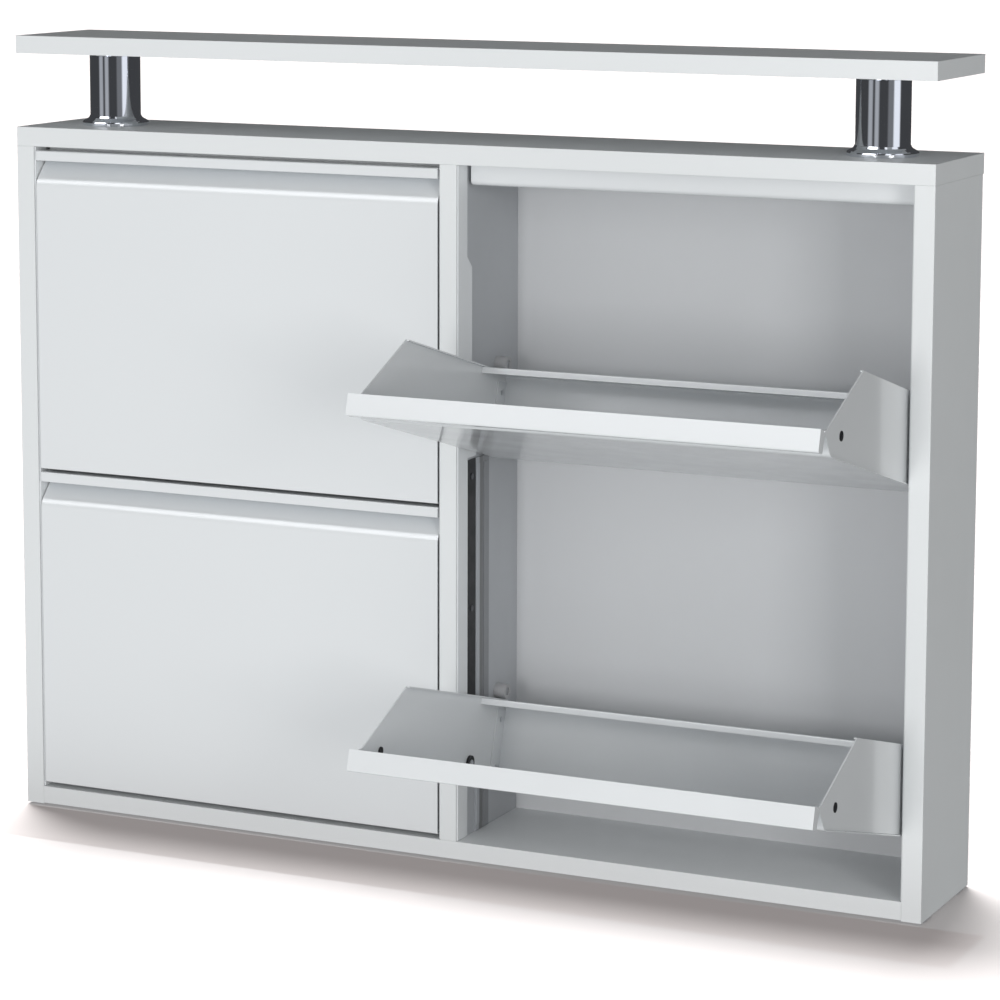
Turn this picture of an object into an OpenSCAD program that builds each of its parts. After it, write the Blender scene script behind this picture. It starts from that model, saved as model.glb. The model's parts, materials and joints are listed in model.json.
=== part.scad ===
// Slim two-column shoe cabinet, 1100 wide, 160 deep, 900 high, in millimetres.
// Four steel tilt-out trays hang on pivot pins in a white board carcass; the left pair is
// shut and the right pair is open. A shelf stands on two chromed posts above the top board.
// Frame: X to the right, Y to the back, Z up. The origin is on the floor, on the underside of
// the middle glide: mid-width, and origin_y behind the carcass front. The modules are drawn
// with Y = 0 at the carcass front, and at_origin moves them.

/* [Carcass] */
// Overall width of the carcass
body_w = 1100; // [900:10:1300]
// Overall depth, back panel included
body_d = 160; // [150:1:220]
// Height of the carcass to the face of the top board
body_h = 796; // [780:1:820]
// Thickness of sides, top and bottom boards
board_t = 22; // [18:1:25]
// Thickness of the middle partition
mid_t = 20; // [16:1:22]
// Thickness of the back panel
back_t = 3; // [3:1:5]
// Height of the glides under the sides
glide_h = 2; // [2:1:4]
// Distance of the origin behind the carcass front
origin_y = 78; // [70:1:90]
// Gap between the bottom board and the floor
floor_gap = 3; // [3:1:6]
// Thickness of the bottom board
bottom_t = 20; // [18:1:22]

/* [Shelf and posts] */
// Height of the shelf's upper face
shelf_top = 900; // [880:1:920]
// Thickness of the shelf
shelf_t = 20; // [18:1:22]
// Depth of the shelf
shelf_d = 156; // [140:1:160]
// Outer diameter of a post
post_dia = 58; // [50:1:60]
// Wall of the post tube
post_wall = 2; // [1.5:0.5:3]
// Diameter of the foot flange
flange_dia = 76; // [70:1:80]
// Height of the foot flange
flange_h = 11; // [9:1:16]
// Distance of a post's axis from mid-width
post_x = 466; // [400:1:490]
// Distance of a post's axis from the front
post_y = 78; // [60:1:90]

/* [Trays] */
// Width of a tray front
tray_w = 512; // [510:0.5:514]
// Height of a tray
tray_h = 368.5; // [360:0.5:369]
// Depth of a tray's side plates behind its face
tray_d = 95; // [80:1:98]
// Height of the lower trays' bottom edge
low_z = 28.5; // [28:0.5:30]
// Height of the upper trays' bottom edge
high_z = 401; // [400:0.5:402]
// Steel thickness
steel_t = 1.2; // [1:0.1:1.5]
// Depth of the grip lip
lip_d = 23; // [18:1:24]
// Height of the lip's front strip
lip_h = 11.5; // [8:0.5:14]
// Depth of the finger groove
groove_d = 20; // [15:1:21]
// Height from the groove's lower edge to the top of the tray
groove_h = 35; // [28:0.5:36]
// Drop of the cut corner of a side plate below the tray's top
cut_z = 111; // [90:1:120]
// Pivot axis behind the face
pivot_y = 20; // [16:0.5:24]
// Pivot axis above the tray's bottom edge
pivot_z = 80; // [76:0.5:84]
// Opening angle, from the stop sleeve's two contacts
open_deg = 74.5; // [70:0.5:76]
// Diameter of a pivot pin
pin_dia = 8; // [6:1:10]
// Height of the low wall at the tray's rear
toe_h = 68; // [40:1:90]
// Diameter of the stop sleeve
stop_dia = 17; // [14:1:18]

/* [Hidden] */

half_w = body_w / 2;
in_x = half_w - board_t;
top_z = body_h - board_t;
bot_z = floor_gap + bottom_t;
case_d = body_d - back_t;
col_w = in_x - mid_t / 2;
col_x = mid_t / 2 + col_w / 2;
half_c = col_w / 2;
half_t = tray_w / 2;
plate_t = 1.5;
plate_x = half_t - 2;
up_t = 1.5;
stop_r = stop_dia / 2;
// The sleeve meets the rear flange shut and open, so it sits on the bisector of the swing.
stop_dy = tray_d - pivot_y + stop_r + 0.4;
stop_dz = stop_dy * (1 - cos(open_deg)) / sin(open_deg);
stop_y = pivot_y + stop_dy;
stop_z = pivot_z + stop_dz;
cut_y = 25;
cut_top = 23.5;
hole_drop = 65;
hole_in = 24;
run = 0.05;
fit = 0.02;
white = [0.93, 0.94, 0.95];
grey = [0.72, 0.73, 0.75];
chrome = [0.78, 0.80, 0.83];
zinc = [0.66, 0.67, 0.69];
black = [0.08, 0.08, 0.09];
beech = [0.80, 0.66, 0.47];

// Sheet sections: a polyline of outer-face points, thickened to its left with mitred corners.
function unit(v) = v / norm(v);
function left(a, b) = let(d = unit(b - a)) [-d[1], d[0]];
function mitre(p, i, t) = let(a = left(p[i - 1], p[i]), b = left(p[i], p[i + 1]))
  p[i] + t * (a + b) / (1 + a * b);
function inner(p, i, t) = i == 0 ? p[0] + t * left(p[0], p[1]) :
  i == len(p) - 1 ? p[i] + t * left(p[i - 1], p[i]) : mitre(p, i, t);
function sheet(p, t) = concat(p, [for (i = [len(p) - 1:-1:0]) inner(p, i, t)]);
// A rounded corner at b between a and c, in n steps.
function rounded(a, b, c, r, n) = let(
  u = unit(a - b),
  v = unit(c - b),
  h = acos(u * v) / 2,
  k = r / tan(h),
  s = b + u * k,
  e = b + v * k,
  o = b + unit(u + v) * r / sin(h),
  a0 = atan2(s[1] - o[1], s[0] - o[0]),
  a1 = atan2(e[1] - o[1], e[0] - o[0]),
  w = a1 - a0 > 180 ? a1 - a0 - 360 : a1 - a0 < -180 ? a1 - a0 + 360 : a1 - a0)
  [for (i = [0:n]) o + r * [cos(a0 + w * i / n), sin(a0 + w * i / n)]];

// Draws a depth-height section and runs it along X from x0 for len_x.
module along_x(x0, len_x) {
  translate([x0, 0, 0]) rotate([90, 0, 90]) linear_extrude(height = len_x) children();
}
// A round bar along X.
module bar_x(x0, len_x, y, z, d) {
  translate([x0, y, z]) rotate([0, 90, 0]) cylinder(d = d, h = len_x, $fn = 48);
}

// Places for both post axes.
module at_posts() {
  for (s = [-1, 1]) translate([s * post_x, post_y, 0]) children();
}
// Joint holes and dowels of one side, s = -1 left, 1 right.
joint_y = [32, 124];
module side_bores(s, extra) {
  for (y = joint_y) {
    translate([s * (half_w - board_t / 2), y, top_z - 18])
      cylinder(d = 8 + extra, h = 32, $fn = 32);
    bar_x(s > 0 ? in_x - 20 : -in_x - 12, 32, y, floor_gap + bottom_t / 2, 8 + extra);
  }
}
module mid_bores(extra) {
  for (y = joint_y) {
    translate([0, y, top_z - 20]) cylinder(d = 8 + extra, h = 34, $fn = 32);
    translate([0, y, bot_z - 12]) cylinder(d = 8 + extra, h = 34, $fn = 32);
  }
}
// Sites of the guide and stop fixings in the column faces: [x, into +X or -X].
faces = [[-in_x, 1], [-mid_t / 2, -1], [mid_t / 2, 1], [in_x, -1]];
guide_zs = [130, 280, 428];
guide_y = 36;
module fixing_bores() {
  for (f = faces) for (z0 = [low_z, high_z])
    bar_x(f[0] + (f[1] > 0 ? -6.5 : -0.5), 7, stop_y, z0 + stop_z, 4.1);
  for (f = faces) for (z = guide_zs)
    bar_x(f[0] + (f[1] > 0 ? -6.5 : -0.5), 7, guide_y, z, 3.1);
}

module side_panel(s) {
  color(white) difference() {
    translate([s > 0 ? in_x : -half_w, 0, glide_h]) cube([board_t, case_d, top_z - glide_h]);
    side_bores(s, 2 * fit);
    fixing_bores();
  }
}
module side_left() { side_panel(-1); }
module side_right() { side_panel(1); }
module partition() {
  color(white) difference() {
    translate([-mid_t / 2, 0, bot_z]) cube([mid_t, case_d, top_z - bot_z]);
    mid_bores(2 * fit);
    fixing_bores();
  }
}
module top_board() {
  color(white) difference() {
    translate([-half_w, 0, top_z]) cube([body_w, body_d, board_t]);
    side_bores(-1, 2 * fit);
    side_bores(1, 2 * fit);
    mid_bores(2 * fit);
    at_posts() translate([0, 0, top_z - 1]) cylinder(d = 10.1, h = board_t + 2, $fn = 32);
    at_posts() translate([0, 0, top_z - 1]) cylinder(d = 24, h = 7, $fn = 32);
  }
}
module bottom_board() {
  color(white) difference() {
    translate([-in_x, 0, floor_gap]) cube([2 * in_x, case_d, bottom_t]);
    side_bores(-1, 2 * fit);
    side_bores(1, 2 * fit);
    mid_bores(2 * fit);
  }
}
// Wall-fixing places: height and distance from mid-width.
wall_x = 300;
wall_z = 748;
module back_panel() {
  color(grey) difference() {
    translate([-half_w + 3, case_d, 6]) cube([body_w - 6, back_t, top_z - 7]);
    for (s = [-1, 1]) translate([s * wall_x, case_d - 1, wall_z]) rotate([-90, 0, 0])
      cylinder(d = 7, h = back_t + 2, $fn = 32);
  }
}
rail_y = 27;
rail_h = 24;
module top_rail(s) {
  x0 = s > 0 ? mid_t / 2 + up_t + 3 : -in_x + up_t + 3;
  pts = concat([[rail_y + 26, top_z - 0.3], [rail_y, top_z - 0.3]],
    rounded([rail_y, top_z], [rail_y, top_z - rail_h], [rail_y + 16, top_z - rail_h], 6, 6),
    [[rail_y + 16, top_z - rail_h], [rail_y + 16, top_z - rail_h + 7]]);
  color(white) along_x(x0, col_w - 2 * up_t - 6) polygon(sheet(pts, steel_t));
}
module top_rail_left() { top_rail(-1); }
module top_rail_right() { top_rail(1); }

module shelf_board() {
  color(white) difference() {
    translate([-half_w, 0, shelf_top - shelf_t]) cube([body_w, shelf_d, shelf_t]);
    at_posts() translate([0, 0, shelf_top - shelf_t - 1]) cylinder(d = 8.1, h = 15, $fn = 32);
  }
}
collar_h = 4;
module post(s) {
  color(chrome) translate([s * post_x, post_y, 0]) difference() {
    translate([0, 0, body_h + 3]) cylinder(d = post_dia,
      h = shelf_top - shelf_t - body_h - 3 - collar_h, $fn = 96);
    translate([0, 0, body_h]) cylinder(d = post_dia - 2 * post_wall,
      h = shelf_top - shelf_t - body_h + 1, $fn = 96);
  }
}
module post_left() { post(-1); }
module post_right() { post(1); }
module post_flanges() {
  r = flange_dia / 2;
  i = post_dia / 2 + 0.1;
  color(chrome) at_posts() translate([0, 0, body_h]) rotate_extrude($fn = 96)
    polygon([[5.2, 0], [r - 0.6, 0], [r, 0.6], [r, 3.4], [r - 0.4, 4.5], [r - 1.4, 5.3],
      [i + 3.2, 7.6], [i + 1.6, 8.8], [i + 0.9, flange_h - 0.8], [i + 0.5, flange_h],
      [i, flange_h], [i, 2.8], [5.2, 2.8]]);
}
module post_collars() {
  r = post_dia / 2 + 1.6;
  b = shelf_top - shelf_t - collar_h;
  color(chrome) at_posts() translate([0, 0, b]) rotate_extrude($fn = 96)
    polygon([[4.3, 0.2], [r - 0.8, 0.2], [r, 1], [r, collar_h], [4.3, collar_h]]);
}
module post_studs() {
  color(zinc) at_posts() {
    translate([0, 0, top_z + 1]) cylinder(d = 20, h = 4.9, $fn = 6);
    translate([0, 0, top_z + 5]) cylinder(d = 8, h = shelf_top - shelf_t + 12 - top_z - 5, $fn = 32);
  }
}

// White hinge uprights, full height: narrow above, wider from 660 to a foot at 450, and a plain
// strip below it. They carry both trays' pivot pins.
module upright_up(f) {
  x0 = f[1] > 0 ? f[0] : f[0] - up_t;
  color(white) difference() {
    along_x(x0, up_t) polygon([[2, bot_z + 0.5], [25.5, bot_z + 0.5], [25.5, 450], [47, 450],
      [47, 467], [36, 474], [36, 660], [24, 672], [24, top_z - 0.5], [2, top_z - 0.5]]);
    for (z0 = [low_z, high_z])
      bar_x(x0 - 1, up_t + 2, pivot_y, z0 + pivot_z, pin_dia + 2 * fit);
  }
}
module uprights_upper() { for (f = faces) upright_up(f); }
// Grey liners behind the guide strips, each with two raised ribs.
module upright_low(f) {
  x0 = f[1] > 0 ? f[0] : f[0] - up_t;
  color(grey) along_x(x0, up_t)
    polygon([[46.5, bot_z + 0.5], [80, bot_z + 0.5], [80, 447], [46.5, 447]]);
  color(grey) for (y = [48, 66]) along_x(f[1] > 0 ? f[0] + up_t : f[0] - up_t - 0.8, 0.8)
    polygon([[y, bot_z + 8], [y + 7, bot_z + 8], [y + 7, 440], [y, 440]]);
}
module uprights_lower() { for (f = faces) upright_low(f); }
module guide_strips() {
  color(black) for (f = faces) difference() {
    translate([f[1] > 0 ? f[0] : f[0] - up_t, 26, 100]) cube([up_t, 20, 347]);
    for (z = guide_zs) bar_x(f[0] - 3, 6, guide_y, z, 3.1);
  }
}
module guide_screws() {
  color(zinc) for (f = faces) for (z = guide_zs) {
    bar_x(f[1] > 0 ? f[0] - 6 : f[0] - up_t, 6 + up_t, guide_y, z, 3);
    bar_x(f[1] > 0 ? f[0] + up_t : f[0] - up_t - 0.9, 0.9, guide_y, z, 6.5);
  }
}
sleeve_l = 14;
module stop_sleeves() {
  color(grey) for (f = faces) for (z0 = [low_z, high_z]) difference() {
    bar_x(f[1] > 0 ? f[0] : f[0] - sleeve_l, sleeve_l, stop_y, z0 + stop_z, stop_dia);
    bar_x(f[0] - 20, 40, stop_y, z0 + stop_z, 4.1);
    bar_x(f[1] > 0 ? f[0] + sleeve_l - 4 : f[0] - sleeve_l - 1, 5, stop_y, z0 + stop_z, 9.2);
  }
}
module stop_screws() {
  color(zinc) for (f = faces) for (z0 = [low_z, high_z]) {
    bar_x(f[1] > 0 ? f[0] - 6 : f[0] - sleeve_l + 4, sleeve_l + 2, stop_y, z0 + stop_z, 4);
    bar_x(f[1] > 0 ? f[0] + sleeve_l - 4 : f[0] - sleeve_l + 1.4, 2.6, stop_y, z0 + stop_z, 8.8);
  }
}
pin_l = 10;
module pivot_pins() {
  color(zinc) for (f = faces) for (z0 = [low_z, high_z])
    bar_x(f[1] > 0 ? f[0] : f[0] - pin_l, pin_l, pivot_y, z0 + pivot_z, pin_dia);
}
module floor_glides() {
  color(grey) for (s = [-1, 1]) for (y = [12, case_d - 34])
    translate([s > 0 ? in_x + 1 : -half_w + 1, y, 0]) cube([board_t - 2, 22, glide_h]);
  color(grey) translate([-11, origin_y - 30, 0]) cube([22, 60, floor_gap]);
}
module dowels() {
  color(beech) side_bores(-1, 0);
  color(beech) side_bores(1, 0);
  color(beech) mid_bores(0);
}
// Cover caps of the cam fittings, on the underside of the bottom board.
module cam_discs() {
  color(white) for (s = [-1, 1]) for (x = [in_x - 34, 40]) for (y = [100, 140])
    translate([s * x, y, floor_gap - 0.8]) cylinder(d = 17, h = 0.8, $fn = 48);
}
module back_nails() {
  for (x = [-540, -270, 0, 270, 540]) color(zinc) translate([x, body_d, bot_z - 8])
    rotate([-90, 0, 0]) cylinder(d = 6, h = 0.6, $fn = 24);
  for (z = [200, 400, 600]) for (x = [-540, 0, 540]) color(zinc) translate([x, body_d, z])
    rotate([-90, 0, 0]) cylinder(d = 6, h = 0.6, $fn = 24);
}
module wall_brackets() {
  color(zinc) for (s = [-1, 1]) translate([s * wall_x, 0, 0]) difference() {
    union() {
      translate([-15, case_d - 2, top_z - 34]) cube([30, 2, 34]);
      translate([-15, case_d - 26, top_z - 2]) cube([30, 26, 2]);
    }
    translate([0, case_d - 5, wall_z]) rotate([-90, 0, 0]) cylinder(d = 6, h = 9, $fn = 32);
    translate([0, case_d - 15, top_z - 5]) cylinder(d = 4.1, h = 9, $fn = 32);
  }
}
module bracket_screws() {
  color(zinc) for (s = [-1, 1]) translate([s * wall_x, case_d - 15, top_z - 4.2])
    cylinder(d = 8, h = 2.2, $fn = 32);
}

// A tray's parts, drawn shut about its column's middle with its bottom edge at Z = 0.
module tray_front() {
  face = concat([[lip_d, tray_h - 7], [lip_d, tray_h]],
    rounded([lip_d, tray_h], [0, tray_h], [0, tray_h - lip_h], 2, 4),
    rounded([0, tray_h], [0, tray_h - lip_h], [groove_d, tray_h - lip_h - 2], 1.6, 4),
    [[groove_d, tray_h - lip_h - 2]],
    rounded([groove_d, tray_h - lip_h - 2], [0, tray_h - groove_h], [0, 0], 16, 10),
    rounded([0, tray_h - groove_h], [0, 0], [14, 0], 1.6, 4), [[14, 0]]);
  cap = [[0.5, tray_h - lip_h + 1.5], [0.5, tray_h - 1.8], [1.8, tray_h - 0.5],
    [lip_d - 0.3, tray_h - 0.5], [lip_d - 0.3, tray_h - 8], [groove_d, tray_h - lip_h - 1.5]];
  color(white) {
    along_x(-half_t, tray_w) polygon(sheet(face, steel_t));
    along_x(-half_t, steel_t) polygon(cap);
    along_x(half_t - steel_t, steel_t) polygon(cap);
  }
}
module tray_side(s) {
  x0 = s > 0 ? plate_x - plate_t : -plate_x;
  xf = s > 0 ? plate_x - hem_w : -plate_x;
  color(white) difference() {
    union() {
      along_x(x0, plate_t) polygon([[1.6, 1.6], [tray_d, 1.6], [tray_d, tray_h - cut_z],
        [cut_y, tray_h - cut_top], [23, tray_h - 14.6], [21.8, tray_h - 14.6],
        [3.6, tray_h - groove_h], [1.6, tray_h - groove_h - 7]]);
      translate([xf, tray_d - plate_t, 1.6]) cube([hem_w, plate_t, tray_h - cut_z - 1.6]);
    }
    bar_x(x0 - 1, plate_t + 2, pivot_y, pivot_z, 12 + 2 * fit);
    bar_x(x0 - 1, plate_t + 2, hole_in, tray_h - hole_drop, 9);
    for (p = rivet_at) bar_x(x0 - 1, plate_t + 2, p[0], p[1], 4 + 2 * fit);
  }
}
rivet_at = [[18, 12], [72, 12]];
hem_w = 4;
module tray_toe() {
  w = 2 * (plate_x - plate_t - 0.2);
  y1 = tray_d - plate_t - 0.2;
  path = concat([[3, 1.4]], rounded([3, 1.4], [y1, 1.4], [y1, toe_h], 5, 5),
    rounded([y1, 1.4], [y1, toe_h], [y1 - 7, toe_h], 1.6, 4), [[y1 - 7, toe_h], [y1 - 7, toe_h - 5]]);
  color(white) along_x(-w / 2, w) polygon(sheet(path, steel_t));
  color(white) for (s = [-1, 1]) difference() {
    translate([s > 0 ? w / 2 - steel_t : -w / 2, 8, 2]) cube([steel_t, 76, 22]);
    for (p = rivet_at) bar_x(s * w / 2 - 3, 6, p[0], p[1], 4 + 2 * fit);
  }
}
// The pivot bushes, and the blind plugs in the holes for a divider's pins.
module tray_bushes() {
  color(black) for (s = [-1, 1]) {
    difference() {
      union() {
        bar_x(s > 0 ? plate_x - 4 : -plate_x - 1.2, 5.2, pivot_y, pivot_z, 12);
        bar_x(s > 0 ? plate_x - 4 : -plate_x + plate_t, 2.5, pivot_y, pivot_z, 17);
      }
      bar_x(s * plate_x - 8, 16, pivot_y, pivot_z, pin_dia + 2 * run);
    }
    bar_x(s > 0 ? plate_x - 3 : -plate_x, 3, hole_in, tray_h - hole_drop, 9 - 2 * fit);
    bar_x(s > 0 ? plate_x : -plate_x - 0.6, 0.6, hole_in, tray_h - hole_drop, 10.4);
  }
}
module tray_rivets() {
  color(zinc) for (s = [-1, 1]) for (p = rivet_at) {
    bar_x(s > 0 ? plate_x - 3.6 : -plate_x, 3.6, p[0], p[1], 4);
    bar_x(s > 0 ? plate_x : -plate_x - 0.8, 0.8, p[0], p[1], 7);
    bar_x(s > 0 ? plate_x - 3.9 : -plate_x + 2.9, 1, p[0], p[1], 6);
  }
}
// Moves the carcass so that the origin lies on the middle glide.
module at_origin() { translate([0, -origin_y, 0]) children(); }
// Puts a tray's part in its place: column -1 or 1, bottom edge z0, turned open or not.
module placed(s, z0, deg) {
  translate([s * col_x, pivot_y - origin_y, z0 + pivot_z]) rotate([deg, 0, 0])
    translate([0, -pivot_y, -pivot_z]) children();
}

at_origin() side_left();
at_origin() side_right();
at_origin() partition();
at_origin() top_board();
at_origin() bottom_board();
at_origin() back_panel();
at_origin() top_rail_left();
at_origin() top_rail_right();
at_origin() shelf_board();
at_origin() post_left();
at_origin() post_right();
at_origin() post_flanges();
at_origin() post_collars();
at_origin() post_studs();
at_origin() uprights_upper();
at_origin() uprights_lower();
at_origin() guide_strips();
at_origin() guide_screws();
at_origin() stop_sleeves();
at_origin() stop_screws();
at_origin() pivot_pins();
at_origin() floor_glides();
at_origin() dowels();
at_origin() cam_discs();
at_origin() back_nails();
at_origin() wall_brackets();
at_origin() bracket_screws();
placed(-1, high_z, 0) tray_front();  // front_ul
placed(-1, high_z, 0) tray_side(-1);  // side_l_ul
placed(-1, high_z, 0) tray_side(1);  // side_r_ul
placed(-1, high_z, 0) tray_toe();  // toe_ul
placed(-1, high_z, 0) tray_bushes();  // bushes_ul
placed(-1, high_z, 0) tray_rivets();  // rivets_ul
placed(-1, low_z, 0) tray_front();  // front_ll
placed(-1, low_z, 0) tray_side(-1);  // side_l_ll
placed(-1, low_z, 0) tray_side(1);  // side_r_ll
placed(-1, low_z, 0) tray_toe();  // toe_ll
placed(-1, low_z, 0) tray_bushes();  // bushes_ll
placed(-1, low_z, 0) tray_rivets();  // rivets_ll
placed(1, high_z, open_deg) tray_front();  // front_ur
placed(1, high_z, open_deg) tray_side(-1);  // side_l_ur
placed(1, high_z, open_deg) tray_side(1);  // side_r_ur
placed(1, high_z, open_deg) tray_toe();  // toe_ur
placed(1, high_z, open_deg) tray_bushes();  // bushes_ur
placed(1, high_z, open_deg) tray_rivets();  // rivets_ur
placed(1, low_z, open_deg) tray_front();  // front_lr
placed(1, low_z, open_deg) tray_side(-1);  // side_l_lr
placed(1, low_z, open_deg) tray_side(1);  // side_r_lr
placed(1, low_z, open_deg) tray_toe();  // toe_lr
placed(1, low_z, open_deg) tray_bushes();  // bushes_lr
placed(1, low_z, open_deg) tray_rivets();  // rivets_lr
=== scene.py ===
"""A slim white shoe cabinet with four steel tilt-out trays and a raised shelf.

The frame brings every piece from the CAD. This script gives the pieces their materials, and
adds the floor, the studio light and the camera.
"""
import json
import math

import bpy
from mathutils import Matrix, Vector

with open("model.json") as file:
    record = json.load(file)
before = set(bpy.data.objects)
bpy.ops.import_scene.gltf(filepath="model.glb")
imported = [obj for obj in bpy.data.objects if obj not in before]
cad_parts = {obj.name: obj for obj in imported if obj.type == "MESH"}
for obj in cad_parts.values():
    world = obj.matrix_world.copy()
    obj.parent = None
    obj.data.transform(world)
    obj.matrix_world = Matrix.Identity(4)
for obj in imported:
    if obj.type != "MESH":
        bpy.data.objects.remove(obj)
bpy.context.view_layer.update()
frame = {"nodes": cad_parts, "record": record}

scene = bpy.context.scene
scene.view_settings.view_transform = "Standard"
scene.view_settings.look = "None"
scene.view_settings.exposure = 0.0
scene.view_settings.gamma = 1.0

# ---------------------------------------------------------------- camera
CAM_AT = (1.6669, -3.4599, 1.1021)
CAM_AZIMUTH, CAM_PITCH, CAM_ROLL = math.radians(25.38), math.radians(8.0), math.radians(0.15)
SENSOR_MM, LENS_MM, SHIFT_Y = 36.0, 126.12, -0.15


def add_camera():
    """The photo's view: from the front right, a little above the cabinet."""
    cam = bpy.data.objects.new("camera", bpy.data.cameras.new("camera"))
    scene.collection.objects.link(cam)
    scene.camera = cam
    cam.data.sensor_width = SENSOR_MM
    cam.data.lens = LENS_MM
    cam.data.shift_y = SHIFT_Y
    cam.data.clip_start, cam.data.clip_end = 0.1, 60.0
    flat = math.cos(CAM_PITCH)
    back = Vector((math.sin(CAM_AZIMUTH) * flat, -math.cos(CAM_AZIMUTH) * flat, math.sin(CAM_PITCH)))
    level = Vector((math.cos(CAM_AZIMUTH), math.sin(CAM_AZIMUTH), 0.0))
    upright = back.cross(level)
    right = level * math.cos(CAM_ROLL) + upright * math.sin(CAM_ROLL)
    up = upright * math.cos(CAM_ROLL) - level * math.sin(CAM_ROLL)
    m = Matrix((right, up, back)).transposed().to_4x4()
    m.translation = Vector(CAM_AT)
    cam.matrix_world = m


add_camera()


# ---------------------------------------------------------------- shader nodes
def link_or_set(nt, value, socket):
    """Wires an output to a socket, or sets the socket to a number or a colour."""
    if isinstance(value, (int, float)):
        socket.default_value = value
    elif isinstance(value, tuple):
        socket.default_value = (*value, 1) if len(value) == 3 else value
    else:
        nt.links.new(value, socket)


def new_mat(name, rgb, rough, metallic=0.0, spec=0.5, coat=0.0, coat_rough=0.1):
    mat = bpy.data.materials.new(name)
    mat.use_nodes = True
    nt = mat.node_tree
    nt.nodes.clear()
    out = nt.nodes.new("ShaderNodeOutputMaterial")
    p = nt.nodes.new("ShaderNodeBsdfPrincipled")
    p.inputs["Base Color"].default_value = (*rgb, 1)
    p.inputs["Roughness"].default_value = rough
    p.inputs["Metallic"].default_value = metallic
    p.inputs["Specular IOR Level"].default_value = spec
    p.inputs["IOR"].default_value = 1.5
    p.inputs["Coat Weight"].default_value = coat
    p.inputs["Coat Roughness"].default_value = coat_rough
    nt.links.new(p.outputs[0], out.inputs[0])
    return mat, nt, p


def ramp(nt, fac, stops):
    r = nt.nodes.new("ShaderNodeValToRGB")
    e = r.color_ramp.elements
    e[0].position, e[0].color = stops[0]
    e[1].position, e[1].color = stops[-1]
    for pos, col in stops[1:-1]:
        e.new(pos).color = col
    nt.links.new(fac, r.inputs[0])
    return r.outputs[0]


def noise(nt, vec, scale, detail=3.0, rough=0.55):
    n = nt.nodes.new("ShaderNodeTexNoise")
    n.inputs["Scale"].default_value = scale
    n.inputs["Detail"].default_value = detail
    n.inputs["Roughness"].default_value = rough
    nt.links.new(vec, n.inputs["Vector"])
    return n.outputs[0]


def stretched(nt, vec, along_z):
    """Coordinates squeezed along Z, so that a noise on them draws out into upright streaks."""
    mp = nt.nodes.new("ShaderNodeMapping")
    mp.inputs["Scale"].default_value = (1, 1, along_z)
    nt.links.new(vec, mp.inputs["Vector"])
    return mp.outputs[0]


def obj_coord(nt):
    return nt.nodes.new("ShaderNodeTexCoord").outputs["Object"]


def split(nt, vec):
    s = nt.nodes.new("ShaderNodeSeparateXYZ")
    nt.links.new(vec, s.inputs[0])
    return s.outputs


def mixc(nt, fac, a, b, mode="MIX"):
    n = nt.nodes.new("ShaderNodeMix")
    n.data_type = "RGBA"
    n.blend_type = mode
    link_or_set(nt, fac, n.inputs[0])
    link_or_set(nt, a, n.inputs[6])
    link_or_set(nt, b, n.inputs[7])
    return n.outputs[2]


def math_n(nt, op, a, b=None):
    n = nt.nodes.new("ShaderNodeMath")
    n.operation = op
    link_or_set(nt, a, n.inputs[0])
    if b is not None:
        link_or_set(nt, b, n.inputs[1])
    return n.outputs[0]


def map_range(nt, v, a, b, c, d):
    """Maps a..b to c..d, clamped."""
    n = nt.nodes.new("ShaderNodeMapRange")
    n.clamp = True
    for i, x in zip((1, 2, 3, 4), (a, b, c, d)):
        n.inputs[i].default_value = x
    nt.links.new(v, n.inputs[0])
    return n.outputs[0]


def soft_edge(nt, radius):
    """A normal that rounds sharp edges to the radius."""
    b = nt.nodes.new("ShaderNodeBevel")
    b.samples = 3
    b.inputs["Radius"].default_value = radius
    return b.outputs[0]


def crevice(nt, reach):
    """Occlusion by the same piece, 1 in the open and less in its own recesses."""
    a = nt.nodes.new("ShaderNodeAmbientOcclusion")
    a.samples = 2
    a.only_local = True
    a.inputs["Distance"].default_value = reach
    return a.outputs["AO"]


def bump(nt, p, height, dist, strength, normal=None):
    b = nt.nodes.new("ShaderNodeBump")
    b.inputs["Strength"].default_value = strength
    b.inputs["Distance"].default_value = dist
    nt.links.new(height, b.inputs["Height"])
    if normal is not None:
        nt.links.new(normal, b.inputs["Normal"])
    nt.links.new(b.outputs[0], p.inputs["Normal"])


def edge_mask(nt, lo, hi):
    """1 on convex edges, 0 on flats."""
    g = nt.nodes.new("ShaderNodeNewGeometry")
    return ramp(nt, g.outputs["Pointiness"], [(lo, (0, 0, 0, 1)), (hi, (1, 1, 1, 1))])


def shade(rgb, k):
    """The colour times k, kept at 1 or less."""
    return tuple(min(1.0, c * k) for c in rgb)


# ---------------------------------------------------------------- materials
IN_X = 0.53  # metres from mid-width, just past the sides' inner faces
BAND_Y = -0.0765  # the edge band ends here, 1.5 mm behind the carcass front


def facing_column(nt, oc):
    """1 on the upright faces inside the carcass, behind the edge band, 0 elsewhere."""
    x, y, _ = split(nt, oc)
    normal = split(nt, nt.nodes.new("ShaderNodeNewGeometry").outputs["True Normal"])
    across = math_n(nt, "GREATER_THAN", math_n(nt, "ABSOLUTE", normal[0]), 0.9)
    inside = math_n(nt, "LESS_THAN", math_n(nt, "ABSOLUTE", x), IN_X)
    behind = math_n(nt, "GREATER_THAN", y, BAND_Y)
    return math_n(nt, "MULTIPLY", math_n(nt, "MULTIPLY", across, inside), behind)


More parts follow.
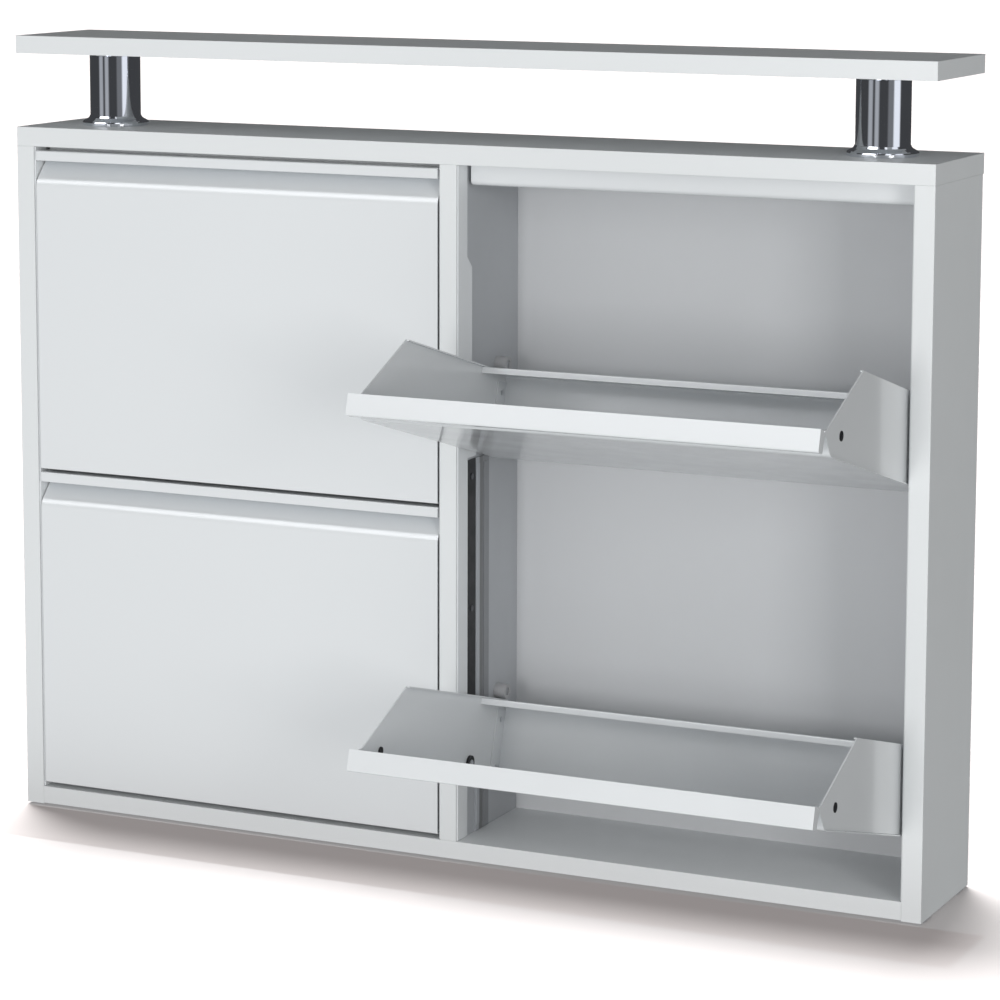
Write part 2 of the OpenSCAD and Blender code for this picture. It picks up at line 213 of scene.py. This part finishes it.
def board_mat(name, rgb, rough=0.38, inner=None):
    """Melamine-faced board: faint clouds in the paper, fine orange-peel, satin gloss.

    With inner set, the faces that look across a column carry that greyer laminate.
    """
    mat, nt, p = new_mat(name, rgb, rough)
    oc = obj_coord(nt)
    clouds = noise(nt, oc, 3.2, 2.0, 0.5)
    fine = noise(nt, oc, 900.0, 2.0, 0.6)
    mid = noise(nt, oc, 38.0, 4.0, 0.6)
    c = mixc(nt, clouds, shade(rgb, 0.975), shade(rgb, 1.015))
    speck = map_range(nt, mid, 0.35, 0.7, 0.0, 0.25)
    c = mixc(nt, speck, c, shade(rgb, 0.965))
    # The colour is a little lighter on convex edges.
    lighter_edge = map_range(nt, edge_mask(nt, 0.52, 0.62), 0, 1, 0.0, 0.35)
    c = mixc(nt, lighter_edge, c, shade(rgb, 1.04))
    if inner is not None:
        laminate = mixc(nt, clouds, inner, shade(inner, 1.05))
        c = mixc(nt, facing_column(nt, oc), c, laminate)
    nt.links.new(c, p.inputs["Base Color"])
    gloss = map_range(nt, mid, 0.3, 0.7, rough - 0.05, rough + 0.06)
    nt.links.new(gloss, p.inputs["Roughness"])
    peel = math_n(nt, "ADD", fine, math_n(nt, "MULTIPLY", mid, 0.6))
    bump(nt, p, peel, 0.00003, 0.35, soft_edge(nt, 0.0009))
    return mat


def coat_mat(name, rgb, rough=0.2):
    """Powder-coated sheet steel: smooth gloss with the coat's fine orange-peel, and painted shade in its
    folds.
    """
    mat, nt, p = new_mat(name, rgb, rough, coat=0.35, coat_rough=0.08)
    oc = obj_coord(nt)
    peel = noise(nt, oc, 420.0, 2.0, 0.5)
    wave = noise(nt, oc, 14.0, 2.0, 0.5)
    clouds = noise(nt, oc, 4.0, 2.0, 0.5)
    c = mixc(nt, clouds, shade(rgb, 0.98), shade(rgb, 1.01))
    edge = map_range(nt, edge_mask(nt, 0.53, 0.66), 0, 1, 0.0, 0.5)
    c = mixc(nt, edge, c, shade(rgb, 1.05))
    # Painted shade: the colour turns a bluish grey in the piece's own folds and recesses.
    painted_fold_shade = map_range(nt, crevice(nt, 0.03), 0.25, 0.85, 0.45, 0.0)
    c = mixc(nt, painted_fold_shade, c, tuple(v * k for v, k in zip(rgb, (0.52, 0.56, 0.60))))
    nt.links.new(c, p.inputs["Base Color"])
    gloss = map_range(nt, wave, 0.3, 0.7, rough - 0.03, rough + 0.05)
    nt.links.new(gloss, p.inputs["Roughness"])
    height = math_n(nt, "ADD", math_n(nt, "MULTIPLY", peel, 0.4), wave)
    bump(nt, p, height, 0.00006, 0.5)
    return mat


LINER_Y = (-0.032, 0.002)  # front and rear edges of the liners, in metres
LINER_BANDS = ((0.0, 1.75, 1.75, 1.75), (0.25, 1.7, 1.7, 1.7), (0.31, 0.62, 0.60, 0.58),
               (0.50, 0.68, 0.66, 0.64), (0.55, 0.95, 0.94, 0.93), (1.0, 1.0, 1.0, 1.0))


def liner_mat(name, rgb):
    """Grey liner in bands by depth: lighter over the front rib, and painted shade over the groove behind it.
    """
    mat, nt, p = new_mat(name, rgb, 0.35, coat=0.1)
    oc = obj_coord(nt)
    streak = noise(nt, stretched(nt, oc, 0.03), 260.0, 3.0, 0.6)
    clouds = noise(nt, oc, 9.0, 3.0, 0.5)
    base = mixc(nt, clouds, shade(rgb, 0.92), shade(rgb, 1.08))
    depth = map_range(nt, split(nt, oc)[1], *LINER_Y, 0.0, 1.0)
    # The bands by depth: lighter over the front rib, then painted shade over the groove behind it.
    band = ramp(nt, depth, [(at, (r, g, b, 1)) for at, r, g, b in LINER_BANDS])
    c = mixc(nt, 1.0, base, band, "MULTIPLY")
    c = mixc(nt, map_range(nt, streak, 0.45, 0.75, 0.0, 0.25), c, shade(rgb, 1.3))
    nt.links.new(c, p.inputs["Base Color"])
    nt.links.new(map_range(nt, streak, 0.3, 0.7, 0.28, 0.42), p.inputs["Roughness"])
    bump(nt, p, streak, 0.00004, 0.5)
    return mat


def chrome_mat(name):
    """Polished chrome with the faintest draw lines along the tube."""
    mat, nt, p = new_mat(name, (0.78, 0.80, 0.84), 0.05, metallic=1.0)
    oc = obj_coord(nt)
    lines = noise(nt, stretched(nt, oc, 0.06), 160.0, 2.0, 0.5)
    haze = noise(nt, oc, 30.0, 3.0, 0.5)
    c = mixc(nt, haze, (0.74, 0.76, 0.80), (0.82, 0.84, 0.87))
    nt.links.new(c, p.inputs["Base Color"])
    nt.links.new(map_range(nt, haze, 0.3, 0.7, 0.035, 0.09), p.inputs["Roughness"])
    bump(nt, p, lines, 0.00001, 0.3)
    return mat


def metal_mat(name, rgb, rough=0.35):
    """Plated or blackened steel with a drawn grain."""
    mat, nt, p = new_mat(name, rgb, rough, metallic=1.0)
    oc = obj_coord(nt)
    grain = noise(nt, stretched(nt, oc, 0.1), 500.0, 3.0, 0.6)
    mottle = noise(nt, oc, 120.0, 3.0, 0.6)
    nt.links.new(mixc(nt, mottle, shade(rgb, 0.85), shade(rgb, 1.1)), p.inputs["Base Color"])
    nt.links.new(map_range(nt, mottle, 0.3, 0.7, rough - 0.08, rough + 0.1), p.inputs["Roughness"])
    bump(nt, p, grain, 0.00003, 0.4)
    return mat


def plastic_mat(name, rgb, rough=0.5):
    """Moulded plastic with a spark-eroded texture."""
    mat, nt, p = new_mat(name, rgb, rough)
    oc = obj_coord(nt)
    texture = noise(nt, oc, 1500.0, 2.0, 0.5)
    mottle = noise(nt, oc, 60.0, 3.0, 0.6)
    nt.links.new(mixc(nt, mottle, shade(rgb, 0.85), shade(rgb, 1.15)), p.inputs["Base Color"])
    nt.links.new(map_range(nt, mottle, 0.3, 0.7, rough - 0.06, rough + 0.08), p.inputs["Roughness"])
    bump(nt, p, texture, 0.00004, 0.5)
    return mat


def wood_mat(name, rgb):
    """Beech dowel with its grain along Z."""
    mat, nt, p = new_mat(name, rgb, 0.6)
    grain = noise(nt, stretched(nt, obj_coord(nt), 0.05), 300.0, 4.0, 0.6)
    nt.links.new(mixc(nt, grain, shade(rgb, 0.7), rgb), p.inputs["Base Color"])
    bump(nt, p, grain, 0.0001, 0.5)
    return mat


MATERIALS = {
    "white_board": board_mat("white_board", (0.805, 0.822, 0.828), inner=(0.44, 0.455, 0.475)),
    "back_board": board_mat("back_board", (0.63, 0.64, 0.655), 0.5),
    "white_steel": coat_mat("white_steel", (0.805, 0.822, 0.834)),
    "grey_steel": liner_mat("grey_steel", (0.25, 0.26, 0.275)),
    "black_steel": metal_mat("black_steel", (0.13, 0.13, 0.14), 0.4),
    "chrome": chrome_mat("chrome"),
    "zinc_steel": metal_mat("zinc_steel", (0.62, 0.63, 0.65)),
    "black_plastic": plastic_mat("black_plastic", (0.012, 0.012, 0.014)),
    "grey_plastic": plastic_mat("grey_plastic", (0.45, 0.45, 0.46)),
    "white_plastic": plastic_mat("white_plastic", (0.8, 0.8, 0.8), 0.3),
    "beech": wood_mat("beech", (0.60, 0.42, 0.25)),
}
slot_of = {s["node"]: s["material_slot"] for s in frame["record"]["subparts"]}
for name, obj in frame["nodes"].items():
    mat = MATERIALS[slot_of[name]]
    if not obj.material_slots:
        obj.data.materials.append(mat)
    for slot in obj.material_slots:
        slot.material = mat


# ---------------------------------------------------------------- floor
def stage_plane(name, x0, y0, x1, y1, z):
    me = bpy.data.meshes.new(name)
    me.from_pydata([(x0, y0, z), (x1, y0, z), (x1, y1, z), (x0, y1, z)], [], [(0, 1, 2, 3)])
    o = bpy.data.objects.new(name, me)
    scene.collection.objects.link(o)
    return o


# The floor only takes light and shadow; its bounce is the lower half of the world.
FLOOR_HALF = 30.0
floor = stage_plane("floor", -FLOOR_HALF, -FLOOR_HALF, FLOOR_HALF, FLOOR_HALF, -0.0005)
floor_paper, fnt, fp = new_mat("floor", (0.82, 0.77, 0.76), 0.9, spec=0.0)
clouds = noise(fnt, obj_coord(fnt), 6.0)
fnt.links.new(mixc(fnt, clouds, (0.81, 0.765, 0.755), (0.83, 0.785, 0.775)), fp.inputs["Base Color"])
floor.data.materials.append(floor_paper)
floor.visible_diffuse = False
floor.visible_glossy = False

# ---------------------------------------------------------------- world
world = bpy.data.worlds.new("world")
scene.world = world
world.use_nodes = True
wt = world.node_tree
wt.nodes.clear()
world_out = wt.nodes.new("ShaderNodeOutputWorld")
ray = wt.nodes.new("ShaderNodeLightPath")
way = split(wt, wt.nodes.new("ShaderNodeTexCoord").outputs["Generated"])
# The compass angle is 0 at the front and positive to the right.
turn = math_n(wt, "ARCTAN2", way[0], math_n(wt, "MULTIPLY", way[1], -1.0))
compass = map_range(wt, turn, -math.pi, math.pi, 0.0, 1.0)


def backdrop(colour):
    b = wt.nodes.new("ShaderNodeBackground")
    link_or_set(wt, colour, b.inputs[0])
    return b.outputs[0]


def mix_shader(fac, a, b):
    n = wt.nodes.new("ShaderNodeMixShader")
    for value, socket in zip((fac, a, b), n.inputs):
        wt.links.new(value, socket)
    return n.outputs[0]


# Soft fill: pale floor bounce below, dim ceiling above, and dimmer behind the cabinet.
LOW, HIGH = (0.83, 0.85, 0.86, 1), (0.42, 0.43, 0.435, 1)
tilt = map_range(wt, way[2], -1.0, 1.0, 0.0, 1.0)
level = ramp(wt, tilt, [(0.0, LOW), (0.44, LOW), (0.56, HIGH), (1.0, HIGH)])
ahead = map_range(wt, way[1], -0.6, 0.6, 1.0, 0.25)
fill = backdrop(mixc(wt, ahead, (0.0, 0.0, 0.0), level))

# What polished metal mirrors: a dark studio with soft strip lamps around it. Each has a compass angle
# and a half-width in degrees, and a brightness.
STRIPS = ((-36, 6, 0.38), (-8, 5, 0.40), (50, 8, 0.14), (77, 11, 0.95))
SOFT = math.radians(7)
brightness = 0.06
for at, half, peak in STRIPS:
    off = math_n(wt, "ABSOLUTE", math_n(wt, "SUBTRACT", turn, math.radians(at)))
    edge = math.radians(half)
    brightness = math_n(wt, "ADD", brightness, map_range(wt, off, edge, edge + SOFT, peak, 0.0))
around = mixc(wt, 1.0, brightness, (0.95, 0.98, 1.05), "MULTIPLY")

# A lamp above the camera's side of the studio, in two pieces, for the glints on rims and folds.
DARK, LIT = (0, 0, 0, 1), (1, 1, 1, 1)
LAMP_REACH = ((-180, 0.0), (-56, 0.0), (-44, 1.0), (-12, 1.0), (-6, 0.0), (26, 0.0), (32, 0.25),
              (44, 0.25), (50, 0.0), (180, 0.0))
lamp = ramp(wt, way[2], [(0.30, DARK), (0.42, LIT), (0.72, LIT), (0.85, DARK)])
in_front = map_range(wt, way[1], -0.35, 0.05, 1.0, 0.0)
reach = ramp(wt, compass, [((at + 180) / 360, (v, v, v, 1)) for at, v in LAMP_REACH])
overhead = math_n(wt, "MULTIPLY", math_n(wt, "MULTIPLY", lamp, in_front), reach)
studio = backdrop(mixc(wt, overhead, around, (5.5, 5.6, 5.8)))

lit_by = mix_shader(ray.outputs["Is Glossy Ray"], fill, studio)
seen = mix_shader(ray.outputs["Is Camera Ray"], lit_by, backdrop((1.0, 1.0, 1.0)))
wt.links.new(seen, world_out.inputs[0])


# ---------------------------------------------------------------- lamps
def collection_of(name, objects):
    c = bpy.data.collections.new(name)
    for o in objects:
        c.objects.link(o)
    return c


def is_on_tray(name):
    return name.rsplit("_", 1)[-1] in ("ul", "ll", "ur", "lr")


nodes = frame["nodes"]
floor_only = collection_of("floor_light_receivers", [floor])
# The chrome takes its light from the studio alone.
no_chrome = collection_of("cabinet_light_receivers", [o for n, o in nodes.items() if slot_of[n] != "chrome"])
carcass = collection_of("floor_shade_casters", [o for n, o in nodes.items() if not is_on_tray(n)])
CABINET_MIDDLE = 0.45  # metres above the floor


def aim(o, direction):
    o.rotation_euler = direction.to_track_quat("-Z", "Y").to_euler()


def area(name, at, target_x, size, power, colour=(1.0, 1.0, 1.0)):
    """A soft box that lights the cabinet, chrome excepted, aimed at its middle height."""
    d = bpy.data.lights.new(name, "AREA")
    d.shape = "RECTANGLE"
    d.size, d.size_y = size
    d.energy = power
    d.color = colour
    o = bpy.data.objects.new(name, d)
    scene.collection.objects.link(o)
    o.location = at
    aim(o, Vector((target_x, 0.0, CABINET_MIDDLE)) - Vector(at))
    o.light_linking.receiver_collection = no_chrome


area("key_left", (0.1, -4.6, 0.45), 0.0, (0.8, 2.0), 68.0)
area("key_right", (4.8, -4.1, 0.7), 0.1, (1.5, 4.0), 134.0, (1.0, 0.995, 0.985))


def floor_sun(name, energy, angle, lean, aside=0.0):
    """A sun for the floor alone: angle is its width, lean and aside tip it from straight down."""
    d = bpy.data.lights.new(name, "SUN")
    d.energy = energy
    d.angle = math.radians(angle)
    o = bpy.data.objects.new(name, d)
    scene.collection.objects.link(o)
    aim(o, Vector((math.tan(math.radians(aside)), -math.tan(math.radians(lean)), -1.0)))
    o.light_linking.receiver_collection = floor_only
    o.light_linking.blocker_collection = carcass


# A soft sun from just behind burns the paper out and leaves the cabinet a soft contact shade, and
# a weak lamp from the front keeps that shade open.
floor_sun("floor_sun", 3.6, 12.0, 8.6, 7.0)
floor_sun("floor_front", 0.45, 60.0, -30.0)

# The shaded strip of floor along the plinth throws little light back on the lowest edges.
strip = stage_plane("shade_strip", -0.60, -0.20, 0.62, -0.081, -0.0002)
strip_mat = bpy.data.materials.new("shade_strip")
strip_mat.use_nodes = True
snt = strip_mat.node_tree
snt.nodes.clear()
glow = snt.nodes.new("ShaderNodeEmission")
glow.inputs[0].default_value = (0.34, 0.33, 0.33, 1)
snt.links.new(glow.outputs[0], snt.nodes.new("ShaderNodeOutputMaterial").inputs[0])
strip.data.materials.append(strip_mat)
strip.visible_camera = False
strip.visible_glossy = False
strip.visible_shadow = False
